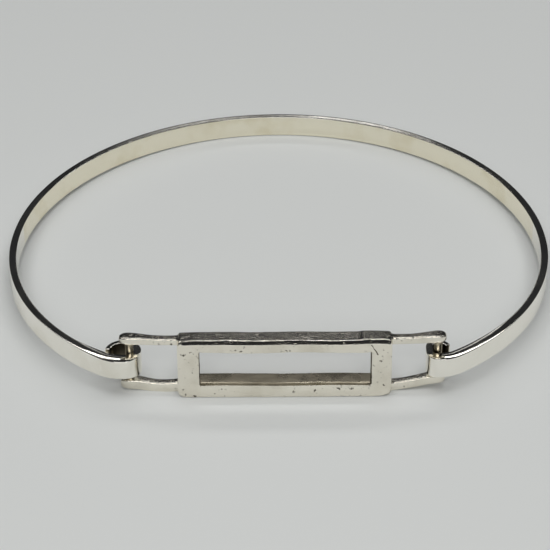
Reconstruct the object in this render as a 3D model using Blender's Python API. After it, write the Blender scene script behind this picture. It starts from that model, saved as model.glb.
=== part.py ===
"""A silver bangle: a springy flat band whose ends turn on two pins of a rectangular front link.

The link lies along the front, the band runs round the back. X is to the right, Y to the back,
Z up along both pins. The origin is the middle of the whole bangle's box.
"""

import math

import bmesh
import bpy
from mathutils import Matrix, Vector

MM = 0.001

# ---- driving dimensions -------------------------------------------------------------------
# band
BAND_RADIUS = 31.0 * MM        # outside of the back half circle
SHOULDER_RADIUS = 27.2 * MM    # outside of the bends that carry the circle on towards the link
END_RADIUS = 4.1 * MM          # outside of the tight bends beside the hook and the knuckle
BAND_HEIGHT = 2.6 * MM
BAND_THICKNESS = 0.85 * MM     # round the back and sides
CURL_THICKNESS = 0.8 * MM      # a quarter turn into a curl, where its pin bears
TIP_THICKNESS = 0.5 * MM       # at the rolled tips, which are filed thin
BAND_EDGE_ROUND = 0.2 * MM
FLEX_GAP = 0.3 * MM            # between the two halves that stand for one springy strip

# catch hook and hinge knuckle, rolled from the band's ends
HOOK_RADIUS = 1.97 * MM        # outside of the hook
HOOK_LEAF = 1.5 * MM           # the strip's thickness where the hook's curl starts
HOOK_SWELL = 8.0 * MM          # length over which the strip thickens towards it
HOOK_LEAD = 0.2 * MM           # straight run before the hook's curl
HOOK_TURN = math.radians(262)
KNUCKLE_RADIUS = 1.35 * MM     # outside of the knuckle's round ends
KNUCKLE_LEAF = 1.25 * MM       # the strip's thickness where the knuckle's curl starts
KNUCKLE_SWELL = 15.0 * MM      # length over which the strip thickens towards it
KNUCKLE_FLAT = 0.9 * MM        # straight side between the knuckle's round ends
KNUCKLE_LEAD = 0.05 * MM
KNUCKLE_TURN = math.radians(256)

# pins
PIN_DIAMETER = 0.9 * MM
PIN_SPACING = 33.1 * MM
PIN_RIM = 0.12 * MM            # rounding of the peened ends
PIN_STAND_OUT = 0.08 * MM      # how far a peened end stands out of its arm
RUNNING_CLEARANCE = 0.05 * MM  # radial, between a pin and what it goes through

# link: a face frame soldered on two rails that run on as arms
LINK_SHIFT = 0.45 * MM         # the pins sit a little to the right of the ring's middle
FRAME_SHIFT = 0.1 * MM         # and the frame a little to the right of the pins' middle
LINK_PROUD = 0.05 * MM         # how far the face stands in front of the hook and the knuckle
FRAME_LENGTH = 22.85 * MM
FRAME_HEIGHT = 7.0 * MM
FRAME_THICKNESS = 0.6 * MM
FRAME_CORNER = 0.5 * MM
FRAME_EDGE_ROUND = 0.13 * MM
WINDOW_LEFT_BAR = 2.36 * MM
WINDOW_RIGHT_BAR = 2.25 * MM
WINDOW_UPPER_BAR = 1.24 * MM
WINDOW_LOWER_BAR = 1.6 * MM
SOLDER_FILM = 0.05 * MM        # between the face frame and the rails
RAIL_DEPTH = 1.6 * MM
RAIL_SETBACK = 0.03 * MM       # the rails lie this far inside the frame's outline
UPPER_ARM_HEIGHT = 0.92 * MM
LOWER_ARM_HEIGHT = 1.15 * MM
UPPER_ARM_INSET = 0.17 * MM    # from the rail's outer side to the arm's outer side
LOWER_ARM_INSET = 0.06 * MM
NECK_DEPTH = 0.9 * MM          # thinnest part of an arm, next to the frame
EYE_DEPTH = 1.4 * MM           # the swelling that holds a pin
EYE_OVERHANG = 0.78 * MM       # from the pin's centre to the arm's end
EYE_ROUND = ((0.6, 0.88), (1.0, 0.45))  # round its end: share of the overhang, share of the depth
EYE_SHOULDER = 0.87 * MM       # from the pin's centre to where the eye starts to swell
EYE_SHOULDER_DEPTH = 1.19 * MM
EYE_SHOULDER_LEAD = 0.1 * MM   # how far in front of the pin's centre the shoulder lies
NECK_START = 0.12              # share of an arm's reach at which its neck begins
NECK_END = 0.45                # and at which it ends
NECK_ROOT_DEPTH = 0.97 * MM    # a neck is a little deeper where it leaves the frame
NECK_LEAN = 0.3                # share of the way from the rail's front to the pin's line
RAIL_EDGE_ROUND = 0.27 * MM

ARC_STEP = math.radians(3.0)   # facet size on the large bends
END_STEP = math.radians(12.0)  # facet size on the bends beside the hook and the knuckle
CURL_STEP = math.radians(15.0)  # facet size on the hook and the knuckle
PIN_SIDES = 24
ROUND_SEGMENTS = 2
SHARP_ANGLE = math.radians(40)  # edges sharper than this are rounded

# ---- derived places -----------------------------------------------------------------------
PIN_RADIUS = PIN_DIAMETER / 2

CATCH_PIN_X = LINK_SHIFT - PIN_SPACING / 2
HINGE_PIN_X = LINK_SHIFT + PIN_SPACING / 2
HOOK_X = CATCH_PIN_X - (HOOK_RADIUS - CURL_THICKNESS - RUNNING_CLEARANCE - PIN_RADIUS)
KNUCKLE_X = HINGE_PIN_X + (KNUCKLE_RADIUS - CURL_THICKNESS - RUNNING_CLEARANCE - PIN_RADIUS)


def shoulder_end(curl_x, lead):
    """The heading at which the shoulder bend ends, so that the end bend runs into the curl."""
    sine = (curl_x + lead - (BAND_RADIUS - SHOULDER_RADIUS)) / (SHOULDER_RADIUS - END_RADIUS)
    return math.pi - math.asin(sine)


def leaf_reach(curl_x, lead):
    """How far in front of the back circle's centre the band's outside lies at a curl."""
    heading = shoulder_end(curl_x, lead)
    return END_RADIUS - (SHOULDER_RADIUS - END_RADIUS) * math.cos(heading)


HOOK_REACH = leaf_reach(-HOOK_X, HOOK_LEAD)
KNUCKLE_REACH = leaf_reach(KNUCKLE_X, KNUCKLE_LEAD)
LINK_REACH = max(HOOK_REACH, KNUCKLE_REACH) + LINK_PROUD
OVERALL_DEPTH = BAND_RADIUS + LINK_REACH
RING_Y = OVERALL_DEPTH / 2 - BAND_RADIUS
FRONT_Y = -OVERALL_DEPTH / 2

CATCH_PIN = Vector((CATCH_PIN_X, RING_Y - HOOK_REACH + HOOK_RADIUS, 0))
HINGE_PIN = Vector((HINGE_PIN_X, RING_Y - KNUCKLE_REACH + KNUCKLE_RADIUS + KNUCKLE_FLAT / 2, 0))
FLEX_AXIS = Vector((0, OVERALL_DEPTH / 2 - BAND_THICKNESS / 2, 0))
FRAME_X = LINK_SHIFT + FRAME_SHIFT
RAIL_Y = FRONT_Y + FRAME_THICKNESS + SOLDER_FILM + RAIL_DEPTH / 2


# ---- helpers ------------------------------------------------------------------------------
def clear_scene():
    for item in list(bpy.data.objects):
        bpy.data.objects.remove(item, do_unlink=True)


def silver(name, colour, roughness):
    material = bpy.data.materials.new(name)
    material.use_nodes = True
    shader = material.node_tree.nodes["Principled BSDF"]
    shader.inputs["Base Color"].default_value = (*colour, 1)
    shader.inputs["Metallic"].default_value = 1
    shader.inputs["Roughness"].default_value = roughness
    return material


def axis_empty(name, place):
    empty = bpy.data.objects.new(name, None)
    empty.empty_display_size = 4 * MM
    empty.location = place
    bpy.context.scene.collection.objects.link(empty)
    return empty


def add_object(name, mesh_data, material, parent=None):
    """A node from a bmesh in world places. Under a parent, its origin is the parent's place."""
    bmesh.ops.recalc_face_normals(mesh_data, faces=mesh_data.faces)
    if parent:
        bmesh.ops.translate(mesh_data, vec=-parent.location, verts=mesh_data.verts)
    mesh = bpy.data.meshes.new(name)
    mesh_data.to_mesh(mesh)
    mesh_data.free()
    mesh.materials.append(material)
    node = bpy.data.objects.new(name, mesh)
    node.parent = parent
    bpy.context.scene.collection.objects.link(node)
    return node


def round_edges(node, width):
    rounding = node.modifiers.new("rounded edges", "BEVEL")
    rounding.width = width
    rounding.segments = ROUND_SEGMENTS
    rounding.limit_method = "ANGLE"
    rounding.angle_limit = SHARP_ANGLE
    node.data.shade_smooth()
    node.data.set_sharp_from_angle(angle=SHARP_ANGLE)


def smooth(value):
    """0 before 0, 1 after 1, and an even blend between."""
    value = min(1, max(0, value))
    return value * value * (3 - 2 * value)


# ---- band ---------------------------------------------------------------------------------
def walk(bends, start, heading):
    """Points and headings along bends given as (radius, turn, step); radius 0 is a straight."""
    place = Vector(start)
    path = [(place.copy(), heading)]
    for radius, turn, step in bends:
        if radius == 0:
            place = place + turn * Vector((math.cos(heading), math.sin(heading), 0))
            path.append((place.copy(), heading))
            continue
        centre = place + radius * Vector((math.sin(heading), -math.cos(heading), 0))
        count = max(2, math.ceil(turn / step))
        for _ in range(count):
            heading -= turn / count
            place = centre + radius * Vector((-math.sin(heading), math.cos(heading), 0))
            path.append((place.copy(), heading))
    return path


def thickness_at(length, curl_start, quarter, end, leaf, swell):
    """The strip's thickness at a length along it, measured from the middle of the back."""
    if length <= curl_start:
        share = smooth(1 - (curl_start - length) / swell)
        return BAND_THICKNESS + (leaf - BAND_THICKNESS) * share
    past = length - curl_start
    if past <= quarter:
        return leaf + (CURL_THICKNESS - leaf) * smooth(past / quarter)
    share = (past - quarter) / (end - curl_start - quarter)
    return CURL_THICKNESS + (TIP_THICKNESS - CURL_THICKNESS) * share


def half_band(name, side, curl, curl_bends, material, parent=None):
    """One half of the strip, from the back to its rolled end. side is +1 right, -1 left.

    curl is (x of the curl's centre, lead, leaf thickness, swell length).
    """
    curl_x, lead, leaf, swell = curl
    first = math.asin(FLEX_GAP / 2 / BAND_RADIUS)
    start = Vector((FLEX_GAP / 2, RING_Y + BAND_RADIUS * math.cos(first), 0))
    shoulder = shoulder_end(curl_x, lead) - math.pi / 2
    bends = [
        (BAND_RADIUS, math.pi / 2 - first, ARC_STEP),
        (SHOULDER_RADIUS, shoulder, ARC_STEP),
        (END_RADIUS, math.pi / 2 - shoulder, END_STEP),
        (0, lead, 0),
    ]
    to_curl = walk(bends, start, -first)
    path = to_curl + walk(curl_bends, to_curl[-1][0], to_curl[-1][1])[1:]

    lengths = [0.0]
    for (here, _), (there, _) in zip(path, path[1:]):
        lengths.append(lengths[-1] + (there - here).length)
    curl_start = lengths[len(to_curl) - 1]
    quarter = curl_bends[0][0] * math.pi / 2
    strip = bmesh.new()
    rows = []
    for (place, heading), length in zip(path, lengths):
        thickness = thickness_at(length, curl_start, quarter, lengths[-1], leaf, swell)
        inward = Vector((math.sin(heading), -math.cos(heading), 0))
        corners = []
        for point in (place, place + inward * thickness):
            corners.append(strip.verts.new((side * point.x, point.y, -BAND_HEIGHT / 2)))
        rows.append(corners)
    for near, far in zip(rows, rows[1:]):
        strip.faces.new((near[0], near[1], far[1], far[0]))
    raised = bmesh.ops.extrude_face_region(strip, geom=strip.faces[:])["geom"]
    lifted = [item for item in raised if isinstance(item, bmesh.types.BMVert)]
    bmesh.ops.translate(strip, vec=(0, 0, BAND_HEIGHT), verts=lifted)
    node = add_object(name, strip, material, parent)
    round_edges(node, BAND_EDGE_ROUND)
    return node


def make_band(material, flex_axis):
    knuckle = [
        (KNUCKLE_RADIUS, math.pi / 2, CURL_STEP),
        (0, KNUCKLE_FLAT, 0),
        (KNUCKLE_RADIUS, KNUCKLE_TURN - math.pi / 2, CURL_STEP),
    ]
    hook = [(HOOK_RADIUS, HOOK_TURN, CURL_STEP)]
    knuckle_end = (KNUCKLE_X, KNUCKLE_LEAD, KNUCKLE_LEAF, KNUCKLE_SWELL)
    hook_end = (-HOOK_X, HOOK_LEAD, HOOK_LEAF, HOOK_SWELL)
    half_band("band_hinge_half", 1, knuckle_end, knuckle, material)
    half_band("band_catch_half", -1, hook_end, hook, material, flex_axis)


# ---- link ---------------------------------------------------------------------------------
def rectangle(left, right, low, high, y, corner=0):
    """Corner points of an upright rectangle, with each corner cut as a three-point round."""
    points = []
    for x, z, toward_x, toward_z in (
        (left, low, 1, 1),
        (right, low, -1, 1),
        (right, high, -1, -1),
        (left, high, 1, -1),
    ):
        first = math.pi / 2 if toward_x == toward_z else 0
        for share in (0, 0.5, 1) if corner else (0,):
            angle = abs(first - share * math.pi / 2)
            across = corner * (1 - math.sin(angle))
            up = corner * (1 - math.cos(angle))
            points.append((x + toward_x * across, y, z + toward_z * up))
    return points


def loop(mesh_data, points):
    verts = [mesh_data.verts.new(point) for point in points]
    return [mesh_data.edges.new(pair) for pair in zip(verts, verts[1:] + verts[:1])]


def make_face_frame(material, hinge_axis):
    left = FRAME_X - FRAME_LENGTH / 2
    right = FRAME_X + FRAME_LENGTH / 2
    half = FRAME_HEIGHT / 2
    plate = bmesh.new()
    outside = loop(plate, rectangle(left, right, -half, half, FRONT_Y, FRAME_CORNER))
    window = (left + WINDOW_LEFT_BAR, right - WINDOW_RIGHT_BAR)
    heights = (-half + WINDOW_LOWER_BAR, half - WINDOW_UPPER_BAR)
    inside = loop(plate, rectangle(*window, *heights, FRONT_Y, FRAME_EDGE_ROUND))
    bmesh.ops.bridge_loops(plate, edges=outside + inside)
    raised = bmesh.ops.extrude_face_region(plate, geom=plate.faces[:])["geom"]
    moved = [item for item in raised if isinstance(item, bmesh.types.BMVert)]
    bmesh.ops.translate(plate, vec=(0, FRAME_THICKNESS, 0), verts=moved)
    node = add_object("face_frame", plate, material, hinge_axis)
    round_edges(node, FRAME_EDGE_ROUND)


def rail_stations(upward):
    """Sections along a rail from the catch pin's eye to the hinge pin's.

    Each is (x, y, middle z, depth, height). upward is +1 for the upper rail, -1 for the lower.
    """
    bar = WINDOW_UPPER_BAR if upward > 0 else WINDOW_LOWER_BAR
    arm_height = UPPER_ARM_HEIGHT if upward > 0 else LOWER_ARM_HEIGHT
    inset = UPPER_ARM_INSET if upward > 0 else LOWER_ARM_INSET
    outer = FRAME_HEIGHT / 2 - RAIL_SETBACK
    rail_height = bar - 2 * RAIL_SETBACK
    rail_z = upward * (outer - rail_height / 2)
    arm_z = upward * (outer - inset - arm_height / 2)
    stations = []
    for pin, way in ((CATCH_PIN, -1), (HINGE_PIN, 1)):
        frame_end = FRAME_X + way * (FRAME_LENGTH / 2 - RAIL_SETBACK)
        reach = abs(pin.x - frame_end)
        rail_front = RAIL_Y - RAIL_DEPTH / 2
        neck = rail_front + NECK_LEAN * (pin.y - rail_front) + NECK_DEPTH / 2
        shoulder = (pin.x - way * EYE_SHOULDER, pin.y - EYE_SHOULDER_LEAD)
        arm = [
            (frame_end - way * NECK_DEPTH, RAIL_Y, rail_z, RAIL_DEPTH, rail_height),
            (frame_end, RAIL_Y, rail_z, RAIL_DEPTH, rail_height),
            (frame_end + way * NECK_START * reach, neck, arm_z, NECK_ROOT_DEPTH, arm_height),
            (frame_end + way * NECK_END * reach, neck, arm_z, NECK_DEPTH, arm_height),
            (*shoulder, arm_z, EYE_SHOULDER_DEPTH, arm_height),
            (pin.x, pin.y, arm_z, EYE_DEPTH, arm_height),
        ]
        for along, deep in EYE_ROUND:
            end_x = pin.x + way * EYE_OVERHANG * along
            arm.append((end_x, pin.y, arm_z, EYE_DEPTH * deep, arm_height))
        stations += arm[::-1] if way < 0 else arm
    return stations


def make_rail(name, upward, material, hinge_axis):
    bar = bmesh.new()
    loops = []
    for x, y, z, depth, height in rail_stations(upward):
        corners = [(-1, -1), (1, -1), (1, 1), (-1, 1)]
        points = [(x, y + a * depth / 2, z + b * height / 2) for a, b in corners]
        loops.append(loop(bar, points))
    for near, far in zip(loops, loops[1:]):
        bmesh.ops.bridge_loops(bar, edges=near + far)
    for end in (loops[0], loops[-1]):
        bmesh.ops.contextual_create(bar, geom=end)
    node = add_object(name, bar, material, hinge_axis)
    round_edges(node, RAIL_EDGE_ROUND)
    for pin in (CATCH_PIN, HINGE_PIN):
        drill(node, f"{name}_drill_{'catch' if pin is CATCH_PIN else 'hinge'}", pin)


def drill(node, name, pin):
    """Cuts a pin's hole, with its running clearance, straight down through a rail."""
    bit = bmesh.new()
    bmesh.ops.create_cone(
        bit,
        cap_ends=True,
        segments=PIN_SIDES,
        radius1=PIN_RADIUS + RUNNING_CLEARANCE,
        radius2=PIN_RADIUS + RUNNING_CLEARANCE,
        depth=2 * FRAME_HEIGHT,
        matrix=Matrix.Translation(pin),
    )
    cutter = add_object(name, bit, node.data.materials[0], node.parent)
    cutter.hide_render = True
    cutter.display_type = "WIRE"
    cut = node.modifiers.new(name, "BOOLEAN")
    cut.operation = "DIFFERENCE"
    cut.solver = "EXACT"
    cut.object = cutter


def make_pin(name, place, material, hinge_axis):
    top = FRAME_HEIGHT / 2 - RAIL_SETBACK - UPPER_ARM_INSET + PIN_STAND_OUT
    bottom = FRAME_HEIGHT / 2 - RAIL_SETBACK - LOWER_ARM_INSET + PIN_STAND_OUT
    body = bmesh.new()
    bmesh.ops.create_cone(
        body,
        cap_ends=True,
        segments=PIN_SIDES,
        radius1=PIN_RADIUS,
        radius2=PIN_RADIUS,
        depth=top + bottom,
        matrix=Matrix.Translation(place + Vector((0, 0, (top - bottom) / 2))),
    )
    node = add_object(name, body, material, hinge_axis)
    round_edges(node, PIN_RIM)


def main():
    clear_scene()
    band_silver = silver("band silver", (0.88, 0.87, 0.83), 0.2)
    link_silver = silver("link silver", (0.86, 0.84, 0.79), 0.27)
    rail_silver = silver("rail silver", (0.83, 0.81, 0.77), 0.3)
    pin_silver = silver("pin silver", (0.6, 0.58, 0.54), 0.4)
    flex_axis = axis_empty("flex_axis", FLEX_AXIS)
    hinge_axis = axis_empty("hinge_axis", HINGE_PIN)
    make_band(band_silver, flex_axis)
    make_face_frame(link_silver, hinge_axis)
    make_rail("upper_rail", 1, rail_silver, hinge_axis)
    make_rail("lower_rail", -1, rail_silver, hinge_axis)
    make_pin("catch_pin", CATCH_PIN, pin_silver, hinge_axis)
    make_pin("hinge_pin", HINGE_PIN, pin_silver, hinge_axis)


main()
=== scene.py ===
# %% [markdown]
# # A hand-made silver bangle
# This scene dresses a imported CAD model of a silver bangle: a springy flat band, hooked at one
# end and hinged at the other to a rectangular open link. Everything is in metres, with X to the
# right along the link, Y towards the back of the band and Z up along the two pins. The CAD model
# gives every place, and this script gives the shapes their hand-made softness and the silver its
# finish.

import math

import bmesh
import bpy
from mathutils import Matrix, Vector


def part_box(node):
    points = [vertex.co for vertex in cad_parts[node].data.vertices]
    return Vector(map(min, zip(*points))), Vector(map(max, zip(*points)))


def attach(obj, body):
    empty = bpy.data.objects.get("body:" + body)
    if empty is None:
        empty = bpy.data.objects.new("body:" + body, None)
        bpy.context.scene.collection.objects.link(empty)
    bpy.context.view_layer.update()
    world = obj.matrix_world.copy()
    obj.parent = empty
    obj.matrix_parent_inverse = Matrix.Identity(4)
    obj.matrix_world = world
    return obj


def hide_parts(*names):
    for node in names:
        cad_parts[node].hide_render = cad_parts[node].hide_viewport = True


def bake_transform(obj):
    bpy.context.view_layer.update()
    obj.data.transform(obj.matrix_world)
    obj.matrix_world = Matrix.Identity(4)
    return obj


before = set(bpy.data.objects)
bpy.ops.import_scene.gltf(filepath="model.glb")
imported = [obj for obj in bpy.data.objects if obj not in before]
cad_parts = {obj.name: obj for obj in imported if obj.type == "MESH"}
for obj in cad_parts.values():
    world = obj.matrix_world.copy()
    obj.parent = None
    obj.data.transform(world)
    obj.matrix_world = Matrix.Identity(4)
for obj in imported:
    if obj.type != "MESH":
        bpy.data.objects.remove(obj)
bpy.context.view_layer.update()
MM = 0.001
print("CAD nodes:", sorted(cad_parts))

# %% [markdown]
# ## Helpers for working as by hand
# An edit-mode operator acts on everything that is selected, so each step first selects exactly
# what it should act on. A face, edge or vertex is picked by where it is, which keeps working when
# a size changes, while an index would not.


# %% Selecting, editing and finishing a piece
def only(piece):
    """Leaves one object selected and active."""
    if bpy.context.mode != "OBJECT":
        bpy.ops.object.mode_set(mode="OBJECT")
    bpy.ops.object.select_all(action="DESELECT")
    piece.select_set(True)
    bpy.context.view_layer.objects.active = piece


def pick(piece, kind, test):
    """In edit mode, selects the VERT, EDGE or FACE elements whose middle passes a test."""
    bpy.ops.mesh.select_mode(type=kind)
    bpy.ops.mesh.select_all(action="DESELECT")
    mesh = bmesh.from_edit_mesh(piece.data)
    for item in {"VERT": mesh.verts, "EDGE": mesh.edges, "FACE": mesh.faces}[kind]:
        corners = [item] if kind == "VERT" else item.verts
        middle = sum((vert.co for vert in corners), Vector()) / len(corners)
        if test(middle, item):
            item.select_set(True)
    mesh.select_flush_mode()
    bmesh.update_edit_mesh(piece.data)


def cut_all(piece, place, normal):
    """Cuts every face along one plane."""
    bpy.ops.mesh.select_mode(type="FACE")
    bpy.ops.mesh.select_all(action="SELECT")
    bpy.ops.mesh.bisect(plane_co=place, plane_no=normal)


def apply_all(piece):
    """Applies every modifier of a piece, from the first to the last."""
    only(piece)
    for modifier in list(piece.modifiers):
        bpy.ops.object.modifier_apply(modifier=modifier.name)


def finish_piece(piece, name, finish):
    """Names a piece, puts its place into its mesh, smooths it and gives it its silver."""
    only(piece)
    bpy.ops.object.transform_apply(location=True, rotation=True, scale=True)
    bpy.ops.object.shade_smooth()
    piece.name = name
    piece.data.name = name
    piece.data.materials.clear()
    piece.data.materials.append(finish)
    print(f"{name}: {len(piece.data.polygons)} faces")


def stain_and_paint_light(piece, finish, test):
    """Gives the faces that pass a test, as (middle, normal), a second, darker finish: real oxide and
    tarnish, and also painted shade and a painted warm reflection.
    """
    piece.data.materials.append(finish)
    last = len(piece.data.materials) - 1
    for polygon in piece.data.polygons:
        if test(polygon.center, polygon.normal):
            polygon.material_index = last


# %% [markdown]
# ## Sterling silver
# Sterling silver reflects almost everything, a little less at the blue end, which is why it looks
# warm beside a neutral floor. These pieces were cast or drawn, filed, soldered and polished by
# hand, and then worn: fine scratches, hazier patches where they rubbed, and small pits with black
# tarnish in them. Where a polishing cloth doesn't reach, in the hollows of the rolls, on the window's
# walls, along its seam and on the pins, the silver is dull or black. A darker silver on the window's
# lower ledge is painted shade, and a yellower one inside the back is a painted warm reflection.
# Each of those states is a finish of its own.

# %% Colour and node helpers
def linear(hex_colour):
    """An sRGB hex colour as the linear RGBA that a shader works in."""
    channels = []
    for start in (0, 2, 4):
        value = int(hex_colour[start:start + 2], 16) / 255
        channels.append(value / 12.92 if value <= 0.04045 else ((value + 0.055) / 1.055) ** 2.4)
    return (*channels, 1.0)


def add(material, kind, settings=None, **links):
    """Adds a node. settings are its own properties or its sockets' values; links are its inputs."""
    node = material.node_tree.nodes.new(kind)
    for key, value in (settings or {}).items():
        if hasattr(node, key):
            setattr(node, key, value)
        else:
            node.inputs[key].default_value = value
    for key, source in links.items():
        socket = node.inputs[int(key[1:])] if key[1:].isdigit() else node.inputs[key.replace("_", " ")]
        material.node_tree.links.new(source, socket)
    return node


# %% The silver
SCRATCH_SPACING = 0.35  # mm between the fine scratches; real ones are finer and would not show
SCRATCH_STRETCH = 4.0   # the scratches are this many times longer than they are wide
WEAR_PATCH = 4.0        # mm across the hazier patches
PIT_SPACING = 0.45      # mm between casting pits
PIT_STAIN = "4A453B"    # black tarnish that gathers in a pit
PIT_PATCH = 3.0         # mm across the patches where pits gather


def sterling_silver(name, clean, tarnish, polish, haze, scratch_depth, pit_depth, tarnish_share):
    """Worn hand-polished sterling. polish and haze are the roughness of bright and rubbed parts.

    Depths are in mm. tarnish_share is how much of the tarnish colour shows in the rubbed parts.
    """
    silver = bpy.data.materials.new(name)
    silver.use_nodes = True
    silver.node_tree.nodes.clear()
    place = add(silver, "ShaderNodeTexCoord").outputs["Object"]

    wear = add(silver, "ShaderNodeTexNoise", {"Scale": 1 / (WEAR_PATCH * MM), "Detail": 4.0}, Vector=place)
    slanted = {"Rotation": (0.0, 0.3, 0.5), "Scale": (1 / SCRATCH_STRETCH, 1.0, 1.0)}
    along = add(silver, "ShaderNodeMapping", slanted, Vector=place)
    fine = {"Scale": 1 / (SCRATCH_SPACING * MM), "Detail": 6.0, "Roughness": 0.7}
    scratches = add(silver, "ShaderNodeTexNoise", fine, Vector=along.outputs[0])
    pits = add(silver, "ShaderNodeTexNoise", {"Scale": 1 / (PIT_SPACING * MM), "Detail": 3.0}, Vector=place)
    patches = add(silver, "ShaderNodeTexNoise", {"Scale": 1 / (PIT_PATCH * MM), "Detail": 1.0}, Vector=place)

    rubbed = {"From Min": 0.35, "From Max": 0.68, "To Min": polish, "To Max": haze}
    rough = add(silver, "ShaderNodeMapRange", rubbed, Value=wear.outputs["Fac"])
    most_rubbed = {"From Min": 0.5, "From Max": 0.75, "To Max": tarnish_share}
    dull = add(silver, "ShaderNodeMapRange", most_rubbed, Value=wear.outputs["Fac"])
    only_pits = {"From Min": 0.62, "From Max": 0.7}
    specks = add(silver, "ShaderNodeMapRange", only_pits, Value=pits.outputs["Fac"])
    only_patches = {"From Min": 0.45, "From Max": 0.56}
    patch = add(silver, "ShaderNodeMapRange", only_patches, Value=patches.outputs["Fac"])
    times = {"operation": "MULTIPLY"}
    dirty = add(silver, "ShaderNodeMath", times, _0=specks.outputs[0], _1=patch.outputs[0])
    colour = add(silver, "ShaderNodeMix", {"data_type": "RGBA"}, Factor=dull.outputs[0])
    colour.inputs[6].default_value = linear(clean)
    colour.inputs[7].default_value = linear(tarnish)

    scratched = add(silver, "ShaderNodeBump", {"Strength": 1.0, "Distance": scratch_depth * MM},
                    Height=scratches.outputs["Fac"])
    pitted = add(silver, "ShaderNodeBump", {"Strength": 1.0, "Distance": pit_depth * MM, "invert": True},
                 Height=dirty.outputs[0], Normal=scratched.outputs[0])
    stained = add(silver, "ShaderNodeMix", {"data_type": "RGBA"}, Factor=dirty.outputs[0])
    stained.inputs[7].default_value = linear(PIT_STAIN if pit_depth else clean)
    silver.node_tree.links.new(colour.outputs[2], stained.inputs[6])
    shader = add(silver, "ShaderNodeBsdfPrincipled", {"Metallic": 1.0},
                 Base_Color=stained.outputs[2], Roughness=rough.outputs[0], Normal=pitted.outputs[0])
    add(silver, "ShaderNodeOutputMaterial", Surface=shader.outputs[0])
    return silver


band_finish = sterling_silver(
    "sterling silver, rolled and polished", clean="FCF9F0", tarnish="D6CEB8", polish=0.06, haze=0.16,
    scratch_depth=0.005, pit_depth=0.0, tarnish_share=0.3)
link_finish = sterling_silver(
    "sterling silver, cast and filed", clean="F4EFE2", tarnish="B5AB94", polish=0.09, haze=0.19,
    scratch_depth=0.034, pit_depth=0.04, tarnish_share=0.35)
wire_finish = sterling_silver(
    "sterling silver, drawn wire", clean="F4EFE2", tarnish="A89F8A", polish=0.08, haze=0.18,
    scratch_depth=0.028, pit_depth=0.04, tarnish_share=0.35)
# This finish is the pins' real tarnish, and also painted shade on the window's lower ledge.
tarnished_and_shaded = sterling_silver(
    "sterling silver, tarnished", clean="B9B09C", tarnish="6E6656", polish=0.22, haze=0.4,
    scratch_depth=0.008, pit_depth=0.0, tarnish_share=0.6)
oxide = sterling_silver(
    "sterling silver, oxidised black", clean="6A6458", tarnish="2C2A26", polish=0.3, haze=0.45,
    scratch_depth=0.01, pit_depth=0.0, tarnish_share=0.8)
# A yellower silver for the inside of the back: a painted warm reflection, not a tarnish.
painted_warm_reflection = sterling_silver(
    "sterling silver, yellowed inside", clean="F9F3DF", tarnish="DCCFA8", polish=0.14, haze=0.24,
    scratch_depth=0.006, pit_depth=0.0, tarnish_share=0.5)
print("finishes:", [material.name for material in bpy.data.materials])

# %% [markdown]
# ## The band
# The band is one flat strip, rolled at both ends. A curve with a flat profile would be quick, but
# it would be equally thick all along, and this strip swells towards its ends and is filed thin at
# its tips. So it is drawn as a ribbon seen from above, row by row along its bends, each row as
# wide as the strip is thick there. The ribbon is then raised to the band's height, rounded and
# made a little uneven, as filing and wear leave it.

# %% Sizes of the band
back_high = Vector(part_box("band_hinge_half")[1])
back_low = Vector(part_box("band_hinge_half")[0])
band_radius = back_high.x
band_height = back_high.z - back_low.z
ring_y = back_high.y - band_radius
pins = {}
for pin_name in ("hinge_pin", "catch_pin"):
    pin_low, pin_high = (Vector(corner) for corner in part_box(pin_name))
    pins[pin_name] = (pin_low + pin_high) / 2
pin_radius = (pin_high.x - pin_low.x) / 2  # both pins are of one wire
SHOULDER_RADIUS = 27.2 * MM    # the flatter arcs between the back half circle and the ends
END_RADIUS = 4.1 * MM          # the tight turn before each rolled end
STRIP = 0.85 * MM              # thickness round the back and sides
AT_PIN = 0.8 * MM              # thickness where a pin bears
TIP = 0.5 * MM                 # filed thin at the rolled tips
PLAY = 0.05 * MM               # round each pin
BIG_STEP = math.radians(2)     # between rows on the large arcs
CURL_STEP = math.radians(9)    # between rows on the tight ones
CROWN = 0.3                    # share of the swelling that is filed off the swollen ends' edges
print(f"band radius {band_radius / MM:.2f} mm, height {band_height / MM:.2f} mm")


def eased(share):
    """0 before 0, 1 after 1 and a smooth rise between."""
    share = min(1.0, max(0.0, share))
    return share * share * (3 - 2 * share)


# %% The two rolled ends
def rolled_end(pin, side, radius, leaf, swell, lead, bends):
    """leaf is the strip's thickness where the roll starts, reached over the length swell.

    lead is the straight before the roll, and bends are (radius, turn) pairs in the order of rolling.
    """
    reach = side * pins[pin].x + radius - AT_PIN - PLAY - pin_radius
    return {"side": side, "x": reach, "leaf": leaf, "swell": swell, "lead": lead, "bends": bends}


KNUCKLE_ROUND = 1.35 * MM  # outer radius of the hinge knuckle
KNUCKLE_FLAT = 0.9 * MM    # the straight between its two turns
HOOK_ROUND = 1.97 * MM     # outer radius of the hook
knuckle_bends = [(KNUCKLE_ROUND, math.pi / 2), (0, KNUCKLE_FLAT), (KNUCKLE_ROUND, math.radians(166))]
hook_bends = [(HOOK_ROUND, math.radians(262))]
knuckle = rolled_end("hinge_pin", 1, KNUCKLE_ROUND, 1.25 * MM, 15 * MM, 0.05 * MM, knuckle_bends)
hook = rolled_end("catch_pin", -1, HOOK_ROUND, 1.5 * MM, 8 * MM, 0.2 * MM, hook_bends)
print(f"knuckle reaches x {knuckle['x'] / MM:.2f} mm, hook reaches x -{hook['x'] / MM:.2f} mm")


# %% Walking along half the band
def run(bends):
    """The length of a row of bends; a bend of radius 0 is a straight."""
    return sum(radius * turn if radius else turn for radius, turn in bends)


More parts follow.
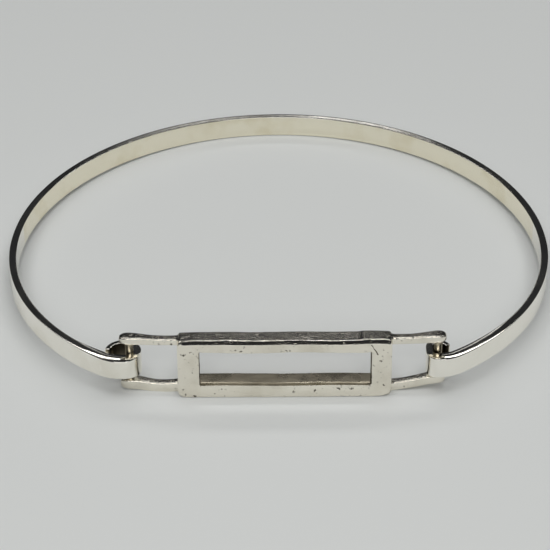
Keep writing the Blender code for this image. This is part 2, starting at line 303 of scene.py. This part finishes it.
def half_ribbon(end):
    """Rows of (outer point, inner point) from the middle of the back to one rolled tip."""
    sine = (end["x"] + end["lead"] - (band_radius - SHOULDER_RADIUS)) / (SHOULDER_RADIUS - END_RADIUS)
    shoulder = math.pi / 2 - math.asin(sine)
    ring = [(band_radius, math.pi / 2), (SHOULDER_RADIUS, shoulder), (END_RADIUS, math.pi / 2 - shoulder)]
    ring.append((0, end["lead"]))
    before = run(ring)
    whole = before + run(end["bends"])
    quarter = end["bends"][0][0] * math.pi / 2
    place, heading, length = Vector((0, ring_y + band_radius, 0)), 0.0, 0.0
    rows = []

    def row():
        """Adds the row at the present place: the outer point and the inner one."""
        thick = STRIP + (end["leaf"] - STRIP) * eased(1 - (before - length) / end["swell"])
        if length > before:
            thick = end["leaf"] + (AT_PIN - end["leaf"]) * eased((length - before) / quarter)
        if length > before + quarter:
            thick = AT_PIN + (TIP - AT_PIN) * (length - before - quarter) / (whole - before - quarter)
        inner = place + thick * Vector((math.sin(heading), -math.cos(heading), 0))
        rows.append([Vector((end["side"] * point.x, point.y, 0)) for point in (place, inner)])

    row()
    for radius, turn in ring + end["bends"]:
        steps = math.ceil(turn / (BIG_STEP if radius > 2 * END_RADIUS else CURL_STEP)) if radius else 1
        centre = place + radius * Vector((math.sin(heading), -math.cos(heading), 0))
        for _ in range(steps):
            if radius:
                heading -= turn / steps
                place = centre + radius * Vector((-math.sin(heading), math.cos(heading), 0))
                length += radius * turn / steps
            else:
                place = place + turn * Vector((math.cos(heading), math.sin(heading), 0))
                length += turn
            row()
    return rows


ribbon = half_ribbon(hook)[:0:-1] + half_ribbon(knuckle)
print("rows along the band:", len(ribbon))

# %% Laying the ribbon out
bpy.ops.object.select_all(action="DESELECT")
bpy.ops.mesh.primitive_plane_add(size=MM)
band = bpy.context.object
bpy.ops.object.mode_set(mode="EDIT")
bpy.ops.mesh.delete(type="VERT")
drawing = bmesh.from_edit_mesh(band.data)
floor_level = Vector((0, 0, -band_height / 2))
laid = []
for outer, inner in ribbon:
    laid.append([drawing.verts.new(point + floor_level) for point in (outer, (outer + inner) / 2, inner)])
for near, far in zip(laid, laid[1:]):
    drawing.faces.new((near[0], far[0], far[1], near[1]))
    drawing.faces.new((near[1], far[1], far[2], near[2]))
bmesh.update_edit_mesh(band.data)
print("ribbon laid out:", len(drawing.faces), "faces")

# %% Raising it to the band's height
bpy.ops.mesh.select_all(action="SELECT")
bpy.ops.mesh.extrude_region_move(TRANSFORM_OT_translate={"value": (0, 0, band_height)})
swelling = {}  # how much thicker than the plain strip the band is, by the place of an edge point
for outer, inner in ribbon:
    for point in (outer, inner):
        swelling[round(point.x, 6), round(point.y, 6)] = max(0.0, (inner - outer).length - STRIP)
for vert in bmesh.from_edit_mesh(band.data).verts:
    swollen = swelling.get((round(vert.co.x, 6), round(vert.co.y, 6)), 0.0)
    vert.co.z -= math.copysign(CROWN * swollen, vert.co.z)
for share in (-0.25, 0.0, 0.25):  # of the height: cuts that divide it in four
    cut_all(band, (0, 0, share * band_height), (0, 0, 1))
bpy.ops.mesh.select_all(action="SELECT")
bpy.ops.mesh.normals_make_consistent(inside=False)
print("ribbon raised:", len(bmesh.from_edit_mesh(band.data).faces), "faces")


# %% Rounding, smoothing and hand-filed unevenness
def soften(piece, round_width, levels, uneven, wave):
    """Rounds the sharp edges, smooths, and makes the surface uneven by a depth over a wave length."""
    only(piece)
    rounding = piece.modifiers.new("rounded", "BEVEL")
    rounding.width = round_width
    rounding.segments = 3
    rounding.limit_method = "ANGLE"
    rounding.angle_limit = math.radians(40)
    rounding.miter_outer = "MITER_ARC"
    smoothing = piece.modifiers.new("smoothed", "SUBSURF")
    smoothing.levels = levels
    smoothing.render_levels = levels
    hand = bpy.data.textures.new("hand filed", "CLOUDS")
    hand.noise_scale = wave
    filing = piece.modifiers.new("filed by hand", "DISPLACE")
    filing.texture = hand
    filing.texture_coords = "LOCAL"
    filing.strength = uneven
    apply_all(piece)


soften(band, 0.07 * MM, levels=1, uneven=0.02 * MM, wave=3.5 * MM)
finish_piece(band, "silver_band", band_finish)


# %% Darkening the inside of the rolls, and painting a warm reflection on the inside of the back
def inside_roll(middle, normal):
    """Faces that look towards a rolled end's own pin, where no cloth reaches."""
    for pin in pins.values():
        towards = Vector((pin.x - middle.x, pin.y - middle.y, 0))
        near = towards.length < HOOK_ROUND
        if near and abs(normal.z) < 0.5 and normal.dot(towards) > 0.3 * towards.length:
            return True
    return False


def inside_back(middle, normal):
    """The inner face round the back half, which lies against the wrist and gets a painted warm reflection.
    """
    inwards = Vector((-middle.x, ring_y - middle.y, 0)).normalized()
    return middle.y > 0 and abs(normal.z) < 0.5 and normal.dot(inwards) > 0.7


stain_and_paint_light(band, oxide, inside_roll)
# Painted warm reflection: the inner face round the back is given a yellower silver.
stain_and_paint_light(band, painted_warm_reflection, inside_back)
print("finishes on the band:", [material.name for material in band.data.materials])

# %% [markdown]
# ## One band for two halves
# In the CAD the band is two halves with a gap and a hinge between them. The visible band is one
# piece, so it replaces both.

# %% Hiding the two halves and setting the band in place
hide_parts("band_hinge_half", "band_catch_half")
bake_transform(band)

# %% [markdown]
# ## Tools for filing
# Hand-filed silver is never quite straight or flat. Three small tools stand for the hand: one tugs
# a place out of true, one rounds edges, and one lowers points as a stroke of a file would.

# %% Tugging, rounding and filing
NEAR = 0.02 * MM  # a point this close to a plane lies on it
EVERY = 20 * MM   # a reach that takes in the whole depth


def tug(piece, at, shift, reach):
    """In edit mode, pulls the points near a place by a shift that fades to nothing at a reach."""
    mesh = bmesh.from_edit_mesh(piece.data)
    for vert in mesh.verts:
        offset = vert.co - Vector(at)
        far = math.sqrt(sum((part / limit) ** 2 for part, limit in zip(offset, reach)))
        vert.co += Vector(shift) * eased(1 - far)
    bmesh.update_edit_mesh(piece.data)


def round_off(piece, width, test):
    """In edit mode, rounds the edges that pass a test."""
    pick(piece, "EDGE", test)
    bpy.ops.mesh.bevel(offset=width, segments=5, profile=0.5, affect="EDGES")


def file_down(piece, test, drop):
    """In edit mode, lowers the points that pass a test, as one stroke of a file would."""
    pick(piece, "VERT", test)
    bpy.ops.transform.translate(value=(0, 0, -drop))


def box_piece(low, high):
    """A box from one corner to the other, left in edit mode."""
    only(band)
    bpy.ops.object.select_all(action="DESELECT")
    bpy.ops.mesh.primitive_cube_add(size=1, location=(low + high) / 2, scale=high - low)
    piece = bpy.context.object
    bpy.ops.object.transform_apply(location=True, rotation=True, scale=True)
    bpy.ops.object.mode_set(mode="EDIT")
    return piece


# %% [markdown]
# ## The face frame
# The front of the link is a flat rectangular frame. A plain rectangle with a hole would look
# machine-made, and this one was filed by hand: its bars are unevenly wide, its corners are
# unequally round, its top edge wanders and slopes down to the front, and a lapped joint stands a
# little proud at its upper right corner. It is cut from a box. Four cuts mark the window, the faces
# inside them are deleted and the two rims are bridged. More cuts give the bars enough points to be
# filed and tugged out of true.

# %% Sizes of the frame
PROUD = 0.15 * MM     # the uneven upper edge stands this much above the flat one of the CAD
WAVE_STEP = 1.1 * MM  # between the cuts along the bars
LEFT_BAR, RIGHT_BAR, UPPER_BAR, LOWER_BAR = 2.36 * MM, 2.25 * MM, 1.24 * MM, 1.6 * MM
frame_low, frame_high = (Vector(corner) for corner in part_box("face_frame"))
window_low = Vector((frame_low.x + LEFT_BAR, 0, frame_low.z + LOWER_BAR))
window_high = Vector((frame_high.x - RIGHT_BAR, 0, frame_high.z - UPPER_BAR))
top, bottom, front = frame_high.z + PROUD, frame_low.z, frame_low.y
window_size = (window_high - window_low) / MM
print(f"window {window_size.x:.2f} x {window_size.z:.2f} mm")

# %% Cutting the frame
face = box_piece(frame_low, Vector((frame_high.x, frame_high.y, top)))
for edge_x in (window_low.x, window_high.x):
    cut_all(face, (edge_x, 0, 0), (1, 0, 0))
for edge_z in (window_low.z, window_high.z):
    cut_all(face, (0, 0, edge_z), (0, 0, 1))


def window_face(middle, item):
    """The front and back faces inside the four cuts."""
    across = window_low.x < middle.x < window_high.x
    return across and window_low.z < middle.z < window_high.z and abs(item.normal.y) > 0.9


pick(face, "FACE", window_face)
bpy.ops.mesh.delete(type="FACE")
bpy.ops.mesh.select_mode(type="EDGE")
bpy.ops.mesh.select_all(action="DESELECT")
bpy.ops.mesh.select_non_manifold()
bpy.ops.mesh.bridge_edge_loops()
for index in range(1, int((frame_high.x - frame_low.x) / WAVE_STEP)):
    cut_all(face, (frame_low.x + index * WAVE_STEP, 0, 0), (1, 0, 0))
for share in (0.35, 0.5, 0.65):  # of the height: cuts across the side bars
    cut_all(face, (0, 0, frame_low.z + share * (frame_high.z - frame_low.z)), (0, 0, 1))
bpy.ops.mesh.select_all(action="SELECT")
bpy.ops.mesh.normals_make_consistent(inside=False)
print("frame cut:", len(bmesh.from_edit_mesh(face.data).faces), "faces")


# %% Rounding the four outer corners
def corner(corner_x, corner_z):
    """A test for the short edge through the frame at one outer corner."""
    return lambda middle, item: (abs(middle.x - corner_x) < NEAR and abs(middle.z - corner_z) < NEAR
                                 and abs(item.verts[0].co.y - item.verts[1].co.y) > NEAR)


corner_rounds = [
    (frame_low.x, bottom, 0.8 * MM),
    (frame_high.x, bottom, 1.0 * MM),
    (frame_low.x, top, 0.6 * MM),
    (frame_high.x, top, 0.35 * MM),
]
for corner_x, corner_z, width in corner_rounds:
    round_off(face, width, corner(corner_x, corner_z))
print("corners rounded by", [round(width / MM, 2) for _, _, width in corner_rounds], "mm")

# %% Filing the top edge and the window's ledge
LAP = (8.75 * MM, 11.45 * MM)  # from x to x, the lapped joint that stays proud
LAP_STEP = 0.1 * MM            # half the width of the step at each end of the lap
LAP_RISE = 0.08 * MM           # how far the rest of the upper edge is filed below the lap
LAP_HEIGHT = 0.7 * MM          # how far down from the top that filing reaches
SLOPE = 1.0 * MM               # depth of the slope along the top's front
SLOPE_DROP = 0.27 * MM
INNER_SLOPE = 0.35 * MM        # depth of the slope along the ledge's front
INNER_DROP = 0.13 * MM


def beside_lap(middle, item):
    """Points of the upper edge to either side of the lap."""
    return middle.z > top - LAP_HEIGHT and not LAP[0] < middle.x < LAP[1]


def top_front(middle, item):
    """Points along the front of the top."""
    return middle.z > top - NEAR and middle.y < front + NEAR


def ledge_front(middle, item):
    """Points along the front of the window's lower side."""
    return abs(middle.z - window_low.z) < NEAR and middle.y < front + NEAR


for depth in (INNER_SLOPE, SLOPE):
    cut_all(face, (0, front + depth, 0), (0, 1, 0))
for x in (LAP[0] - LAP_STEP, LAP[0] + LAP_STEP, LAP[1] - LAP_STEP, LAP[1] + LAP_STEP):
    cut_all(face, (x, 0, 0), (1, 0, 0))
file_down(face, top_front, SLOPE_DROP)
file_down(face, beside_lap, LAP_RISE)
file_down(face, ledge_front, INNER_DROP)
print(f"lap {(LAP[1] - LAP[0]) / MM:.1f} mm long, {LAP_RISE / MM:.2f} mm proud")

# %% Marking the solder seam
SEAM_AT = Vector((10.1 * MM, front, 2.65 * MM))
SEAM_ACROSS = Vector((0.857, 0, 0.514))  # the seam slants, and this points across it
SEAM_WIDTH = 0.09 * MM
SEAM_LOW = Vector((9.3 * MM, 0, 1.6 * MM))
SEAM_HIGH = Vector((11.0 * MM, 0, 3.2 * MM))


def by_seam(middle):
    """Inside the small patch of the front that the solder seam crosses."""
    return SEAM_LOW.x < middle.x < SEAM_HIGH.x and SEAM_LOW.z < middle.z < SEAM_HIGH.z


for way in (-0.5, 0.5):
    pick(face, "FACE", lambda middle, item: abs(middle.y - front) < NEAR and by_seam(middle))
    bpy.ops.mesh.bisect(plane_co=SEAM_AT + way * SEAM_WIDTH * SEAM_ACROSS, plane_no=SEAM_ACROSS)
print(f"seam {SEAM_WIDTH / MM:.2f} mm wide")

# %% Tugging the bars out of true
upper_tugs = []
for x, drop in ((-11.5, 0.1), (-2.5, 0.07), (6, 0.06)):
    upper_tugs.append(((x * MM, front, top), (0, 0, -drop * MM), (3 * MM, EVERY, 1.1 * MM)))
for x, sag in ((-9, 0.1), (-3, -0.06), (2, 0.07), (7.5, -0.05)):
    upper_tugs.append(((x * MM, front, window_high.z), (0, 0, sag * MM), (3.4 * MM, EVERY, 0.8 * MM)))
lower_tugs = [((frame_high.x, front, bottom), (0, 0, 0.14 * MM), (2.6 * MM, EVERY, 1.6 * MM))]
for x, lift in ((-6, 0.06), (0.5, -0.05), (6, 0.05)):
    lower_tugs.append(((x * MM, front, window_low.z), (0, 0, lift * MM), (3.2 * MM, EVERY, 0.7 * MM)))
for at, shift, reach in upper_tugs + lower_tugs:
    tug(face, at, shift, reach)
print("tugs on the frame:", len(upper_tugs + lower_tugs))


# %% Rounding the window's sides and smoothing the frame
def window_side(side_x):
    """A test for the front edge along one side of the window."""
    return lambda middle, item: (abs(middle.x - side_x) < NEAR and abs(middle.y - front) < NEAR
                                 and window_low.z < middle.z < window_high.z)


for side_x, width in ((window_low.x, 0.16 * MM), (window_high.x, 0.3 * MM)):
    round_off(face, width, window_side(side_x))
soften(face, 0.1 * MM, levels=2, uneven=0.09 * MM, wave=1.0 * MM)
finish_piece(face, "face_frame_filed", link_finish)

# %% Darkening the window's walls and seam, and painting shade on its ledge
WALL = 0.45 * MM  # how far the window's rounded walls may lie from where they were cut


def along_window(middle):
    """Between the window's left and right ends, its walls taken in."""
    return window_low.x - WALL < middle.x < window_high.x + WALL


def side_wall(middle, normal):
    """The two upright walls of the window."""
    return abs(normal.x) > 0.55 and window_low.z < middle.z < window_high.z and along_window(middle)


def shaded_ledge(middle, normal):
    """The upward faces of the lower bar inside the window, which are given painted shade."""
    return normal.z > 0.75 and abs(middle.z - window_low.z) < WALL and along_window(middle)


def seam_face(middle, normal):
    """The narrow strip of the front between the seam's two cuts."""
    across = abs((middle - SEAM_AT).dot(SEAM_ACROSS))
    return normal.y < -0.8 and by_seam(middle) and across < 0.5 * SEAM_WIDTH


stain_and_paint_light(face, oxide, side_wall)
# Painted shade: the lower bar's upward faces inside the window are darkened to stand for the dark room they
# mirror.
stain_and_paint_light(face, tarnished_and_shaded, shaded_ledge)
stain_and_paint_light(face, oxide, seam_face)
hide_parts("face_frame")
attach(face, "link")
print("finishes on the frame:", [material.name for material in face.data.materials])

# %% [markdown]
# ## The two rails and their arms
# Behind each long bar of the frame lies a thick wire that runs on past it as an arm at either end.
# Each arm is necked where it was filed, and swells again round its pin. A rail starts as a box
# nearly as long as the frame. Its end faces are then extruded and scaled from station to station,
# which is how such a shape is drawn out by hand, and a wide bevel makes the wire round. The rails
# get the frame's tugs and filing too, so that the two stay together.

# %% Drawing out an arm
NECK = 0.9 * MM                           # depth of the wire where it was filed thin
EYE = 1.4 * MM                            # depth round a pin
OVERHANG = {-1: 1.05 * MM, 1: 0.85 * MM}  # past the catch pin and past the hinge pin
ON_END = 0.001 * MM                       # a face this close to the end is the end face


def draw_arm(rail, way, pin, arm_z, arm_height, root_x):
    """Extrudes one end face outwards through (x, y, z, depth, height) stations round a pin."""
    reach = abs(pin.x - root_x)
    rail_front = frame_high.y + PLAY
    neck_y = rail_front + 0.3 * (pin.y - rail_front) + NECK / 2
    root = (root_x + way * 0.035 * reach, neck_y, arm_z, 0.97 * MM, arm_height)
    neck = (root_x + way * 0.45 * reach, neck_y, arm_z, NECK, 0.94 * arm_height)
    swell = (pin.x - way * 0.87 * MM, pin.y - 0.1 * MM, arm_z, 1.19 * MM, arm_height)
    eye = (pin.x, pin.y, arm_z, EYE, arm_height)
    past = (pin.x + way * 0.6 * OVERHANG[way], pin.y, arm_z, 0.88 * EYE, 0.94 * arm_height)
    tip = (pin.x + way * OVERHANG[way], pin.y, arm_z, 0.45 * EYE, 0.6 * arm_height)
    for x, y, z, depth, height in (root, neck, swell, eye, past, tip):
        mesh = bmesh.from_edit_mesh(rail.data)
        edge = max(way * vert.co.x for vert in mesh.verts) - ON_END
        pick(rail, "FACE", lambda middle, item: way * middle.x > edge and abs(item.normal.x) > 0.9)
        bpy.ops.mesh.extrude_region_move()
        mesh = bmesh.from_edit_mesh(rail.data)
        end = [vert for vert in mesh.verts if vert.select]
        low = Vector([min(vert.co[axis] for vert in end) for axis in range(3)])
        high = Vector([max(vert.co[axis] for vert in end) for axis in range(3)])
        middle = (low + high) / 2
        size = high - low
        bpy.ops.transform.resize(value=(1, depth / size.y, height / size.z), center_override=middle)
        bpy.ops.transform.translate(value=Vector((x, y, z)) - middle)


# %% Making a rail
SUNK = 0.3 * MM         # the solder has closed the seam, so each rail runs a little into the frame
WITHIN = 0.03 * MM      # a rail stays this much inside its bar, above and below
RAIL_DEPTH = 1.6 * MM
SHORT_LEFT = 0.2 * MM   # a rail's box ends this much inside the frame's left end
SHORT_RIGHT = 0.12 * MM
RAIL_PARTS = 16         # cuts divide the box into this many along its length
END_CUT = 0.15 * MM     # one more cut this close to each end keeps the root crisp


def draw_rail(name, node, arm_inset, arm_height, tugs):
    """Makes the rail of a node. arm_inset is how far the arms lie inside the rail's outer side."""
    low, high = (Vector(corner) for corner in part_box(node))
    upward = 1 if high.z > 0 else -1
    edge, bar = (top, UPPER_BAR + PROUD) if upward > 0 else (bottom, LOWER_BAR)
    outer = edge - upward * WITHIN
    inner = outer - upward * (bar - 2 * WITHIN)
    arm_z = outer - upward * (arm_inset + arm_height / 2)
    ends = (frame_low.x + SHORT_LEFT, frame_high.x - SHORT_RIGHT)
    start = Vector((ends[0], low.y - SUNK, min(outer, inner)))
    stop = Vector((ends[1], low.y + RAIL_DEPTH, max(outer, inner)))
    rail = box_piece(start, stop)
    draw_arm(rail, -1, pins["catch_pin"], arm_z, arm_height, ends[0])
    draw_arm(rail, 1, pins["hinge_pin"], arm_z, arm_height, ends[1])
    for index in range(1, RAIL_PARTS):
        cut_all(rail, (ends[0] + index / RAIL_PARTS * (ends[1] - ends[0]), 0, 0), (1, 0, 0))
    bpy.ops.mesh.select_all(action="SELECT")
    bpy.ops.mesh.normals_make_consistent(inside=False)
    for x in (ends[0] + END_CUT, ends[1] - END_CUT, LAP[0] - LAP_STEP, LAP[0] + LAP_STEP):
        cut_all(rail, (x, 0, 0), (1, 0, 0))
    file_down(rail, beside_lap, LAP_RISE)
    for at, shift, reach in tugs:
        tug(rail, at, shift, reach)
    soften(rail, 0.2 * MM, levels=2, uneven=0.05 * MM, wave=1.5 * MM)
    finish_piece(rail, name, wire_finish)
    # Painted shade on the lower rail's upward faces inside the window, as on the frame's ledge.
    stain_and_paint_light(rail, tarnished_and_shaded, shaded_ledge)
    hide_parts(node)
    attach(rail, "link")


# %% The upper and the lower rail
ARM_TUG_HEIGHT = 4 * MM  # a reach that takes in a whole arm and stops short of the other rail's
upper_arm_tugs = [((-16.5 * MM, front, top), (0, 0, -0.15 * MM), (5 * MM, EVERY, ARM_TUG_HEIGHT))]
lower_arm_tugs = [
    ((17.5 * MM, front, bottom), (0, 0, 0.6 * MM), (6.5 * MM, EVERY, ARM_TUG_HEIGHT)),
    ((12.6 * MM, front, bottom), (0, 0, -0.4 * MM), (3 * MM, EVERY, ARM_TUG_HEIGHT)),
    ((-12.6 * MM, front, bottom), (0, 0, -0.36 * MM), (3 * MM, EVERY, ARM_TUG_HEIGHT)),
]
draw_rail("upper_rail_filed", "upper_rail", 0.17 * MM, 0.92 * MM, upper_tugs + upper_arm_tugs)
draw_rail("lower_rail_filed", "lower_rail", 0.06 * MM, 1.15 * MM, lower_tugs + lower_arm_tugs)

# %% [markdown]
# ## The pins
# Each pin is a short length of round wire, set into both arms and filed off flush, so only its
# shank shows between the arms. The ends stop just under the arms' surface.

# %% Cutting the pins
FLUSH = 0.35 * MM  # how far each end stops short of the CAD pin's, inside its arm
PIN_PARTS = 12     # cuts divide a pin into this many along its length


def set_pin(node, raised):
    """raised is how far the arm under the pin was bent up, which shortens the pin."""
    low, high = (Vector(corner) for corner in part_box(node))
    low.z += raised
    only(band)
    bpy.ops.object.select_all(action="DESELECT")
    length = high.z - low.z - 2 * FLUSH
    middle = (low + high) / 2
    bpy.ops.mesh.primitive_cylinder_add(vertices=24, radius=pin_radius, depth=length, location=middle)
    piece = bpy.context.object
    bpy.ops.object.transform_apply(location=True, rotation=True, scale=True)
    bpy.ops.object.mode_set(mode="EDIT")
    for index in range(1, PIN_PARTS):
        cut_all(piece, (0, 0, low.z + FLUSH + index / PIN_PARTS * length), (0, 0, 1))
    soften(piece, 0.1 * MM, levels=1, uneven=0.03 * MM, wave=1.0 * MM)
    finish_piece(piece, node + "_wire", tarnished_and_shaded)
    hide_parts(node)
    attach(piece, "link")


set_pin("hinge_pin", 0.5 * MM)
set_pin("catch_pin", 0.0)

# %% [markdown]
# ## The floor, the light and the camera
# The bangle lies on a pale sheet. The link is taller than the band, so it stands on the link's
# lower edge in front and on the band's lower edge at the back. The model stays level, so the sheet
# is the one that tilts, by about two and a half degrees.
#
# Polished metal shows what is round it. The upright faces mirror the pale sheet, and the level ones
# mirror the room behind, so the room is dim. A long narrow softbox behind draws bright lines along
# rounded edges, and three small cards far behind put paler stretches on the back's top edge. Two
# broad lights, overhead and in front, light the sheet. The overhead one doesn't show in the silver,
# where it would wash out the dark tops.

# %% The sheet it lies on
SHEET_SIZE = 3     # metres, so that its edges are out of the picture
CLEAR = 0.02 * MM  # under the feet, so that silver and sheet don't share a plane
sheet_finish = bpy.data.materials.new("matt white card")
sheet_finish.use_nodes = True
card = sheet_finish.node_tree.nodes["Principled BSDF"]
card.inputs["Base Color"].default_value = linear("DADCDA")
card.inputs["Roughness"].default_value = 0.85
front_foot = Vector((0, -24.9 * MM, -3.46 * MM))
back_foot = Vector((0, back_high.y, back_low.z))
tilt = math.atan2(back_foot.z - front_foot.z, back_foot.y - front_foot.y)
bpy.ops.object.select_all(action="DESELECT")
bpy.ops.mesh.primitive_plane_add(size=SHEET_SIZE)
sheet = bpy.context.object
sheet.name = "sheet"
sheet.rotation_euler = (tilt, 0, 0)
sheet.location = front_foot - Vector((0, 0, CLEAR))
sheet.data.materials.append(sheet_finish)
print(f"the sheet tilts by {math.degrees(tilt):.2f} degrees")


# %% The lights
def soft_light(name, place, aim, width, height, power):
    """A rectangular area light at a place, turned towards a point; sizes in metres, power in watts."""
    lamp = bpy.data.lights.new(name, "AREA")
    lamp.shape = "RECTANGLE"
    lamp.size = width
    lamp.size_y = height
    lamp.energy = power
    holder = bpy.data.objects.new(name, lamp)
    holder.location = place
    holder.rotation_euler = (Vector(aim) - Vector(place)).to_track_quat("-Z", "Y").to_euler()
    bpy.context.scene.collection.objects.link(holder)
    return holder


BACK_OF_BAND = (0, 0.03, 0)  # the three cards are turned towards this place
soft_light("softbox behind", (0.0, 0.48, 0.64), (0, -0.02, 0), 0.9, 0.09, 0.95)
soft_light("grey card far behind", (0.0, 0.72, 0.39), BACK_OF_BAND, 0.15, 0.05, 0.0055)
soft_light("bright card, right", (0.04, 0.70, 0.38), BACK_OF_BAND, 0.054, 0.04, 0.006)
soft_light("bright card, left", (-0.032, 0.70, 0.38), BACK_OF_BAND, 0.025, 0.04, 0.002)
key = soft_light("key light overhead", (0.0, -0.12, 0.55), (0, 0, 0), 0.6, 0.5, 2.05)
key.visible_glossy = False
soft_light("soft light in front", (0.0, -0.52, 0.4), (0, 0, 0), 0.5, 0.3, 1.4)

# %% The dim room
world = bpy.data.worlds.new("dim room")
world.use_nodes = True
world.node_tree.nodes["Background"].inputs["Color"].default_value = linear("6A6C70")
world.node_tree.nodes["Background"].inputs["Strength"].default_value = 0.13
bpy.context.scene.world = world
bpy.context.scene.view_settings.view_transform = "Standard"
print("lights:", [lamp.name for lamp in bpy.data.lights])

# %% The camera
CAMERA_AT = Vector((-0.424, -212.143, 133.247)) * MM
CAMERA_AIM = Vector((-0.426, -8.483, 0.0)) * MM
CAMERA_ROLL = math.radians(-0.297)
FOCAL_LENGTH = 139.73
lens = bpy.data.cameras.new("camera")
lens.lens = FOCAL_LENGTH
lens.sensor_width = 36
lens.clip_start = 0.01
camera = bpy.data.objects.new("camera", lens)
bpy.context.scene.collection.objects.link(camera)
forward = (CAMERA_AIM - CAMERA_AT).normalized()
level_right = forward.cross(Vector((0, 0, 1))).normalized()
level_up = level_right.cross(forward)
right = math.cos(CAMERA_ROLL) * level_right + math.sin(CAMERA_ROLL) * level_up
up = math.cos(CAMERA_ROLL) * level_up - math.sin(CAMERA_ROLL) * level_right
turned = Matrix((right, up, -forward)).transposed().to_4x4()
camera.matrix_world = Matrix.Translation(CAMERA_AT) @ turned
bpy.context.scene.camera = camera
print(f"the camera stands {(CAMERA_AIM - CAMERA_AT).length / MM:.0f} mm away")

# %% [markdown]
# ## Finishing
# Dressing it left the width and the depth of the CAD model's box as they were. The uneven top
# edge and the bent arms add about 0.3 mm to the height.

# %% Updating the scene, and the end
bpy.context.view_layer.update()
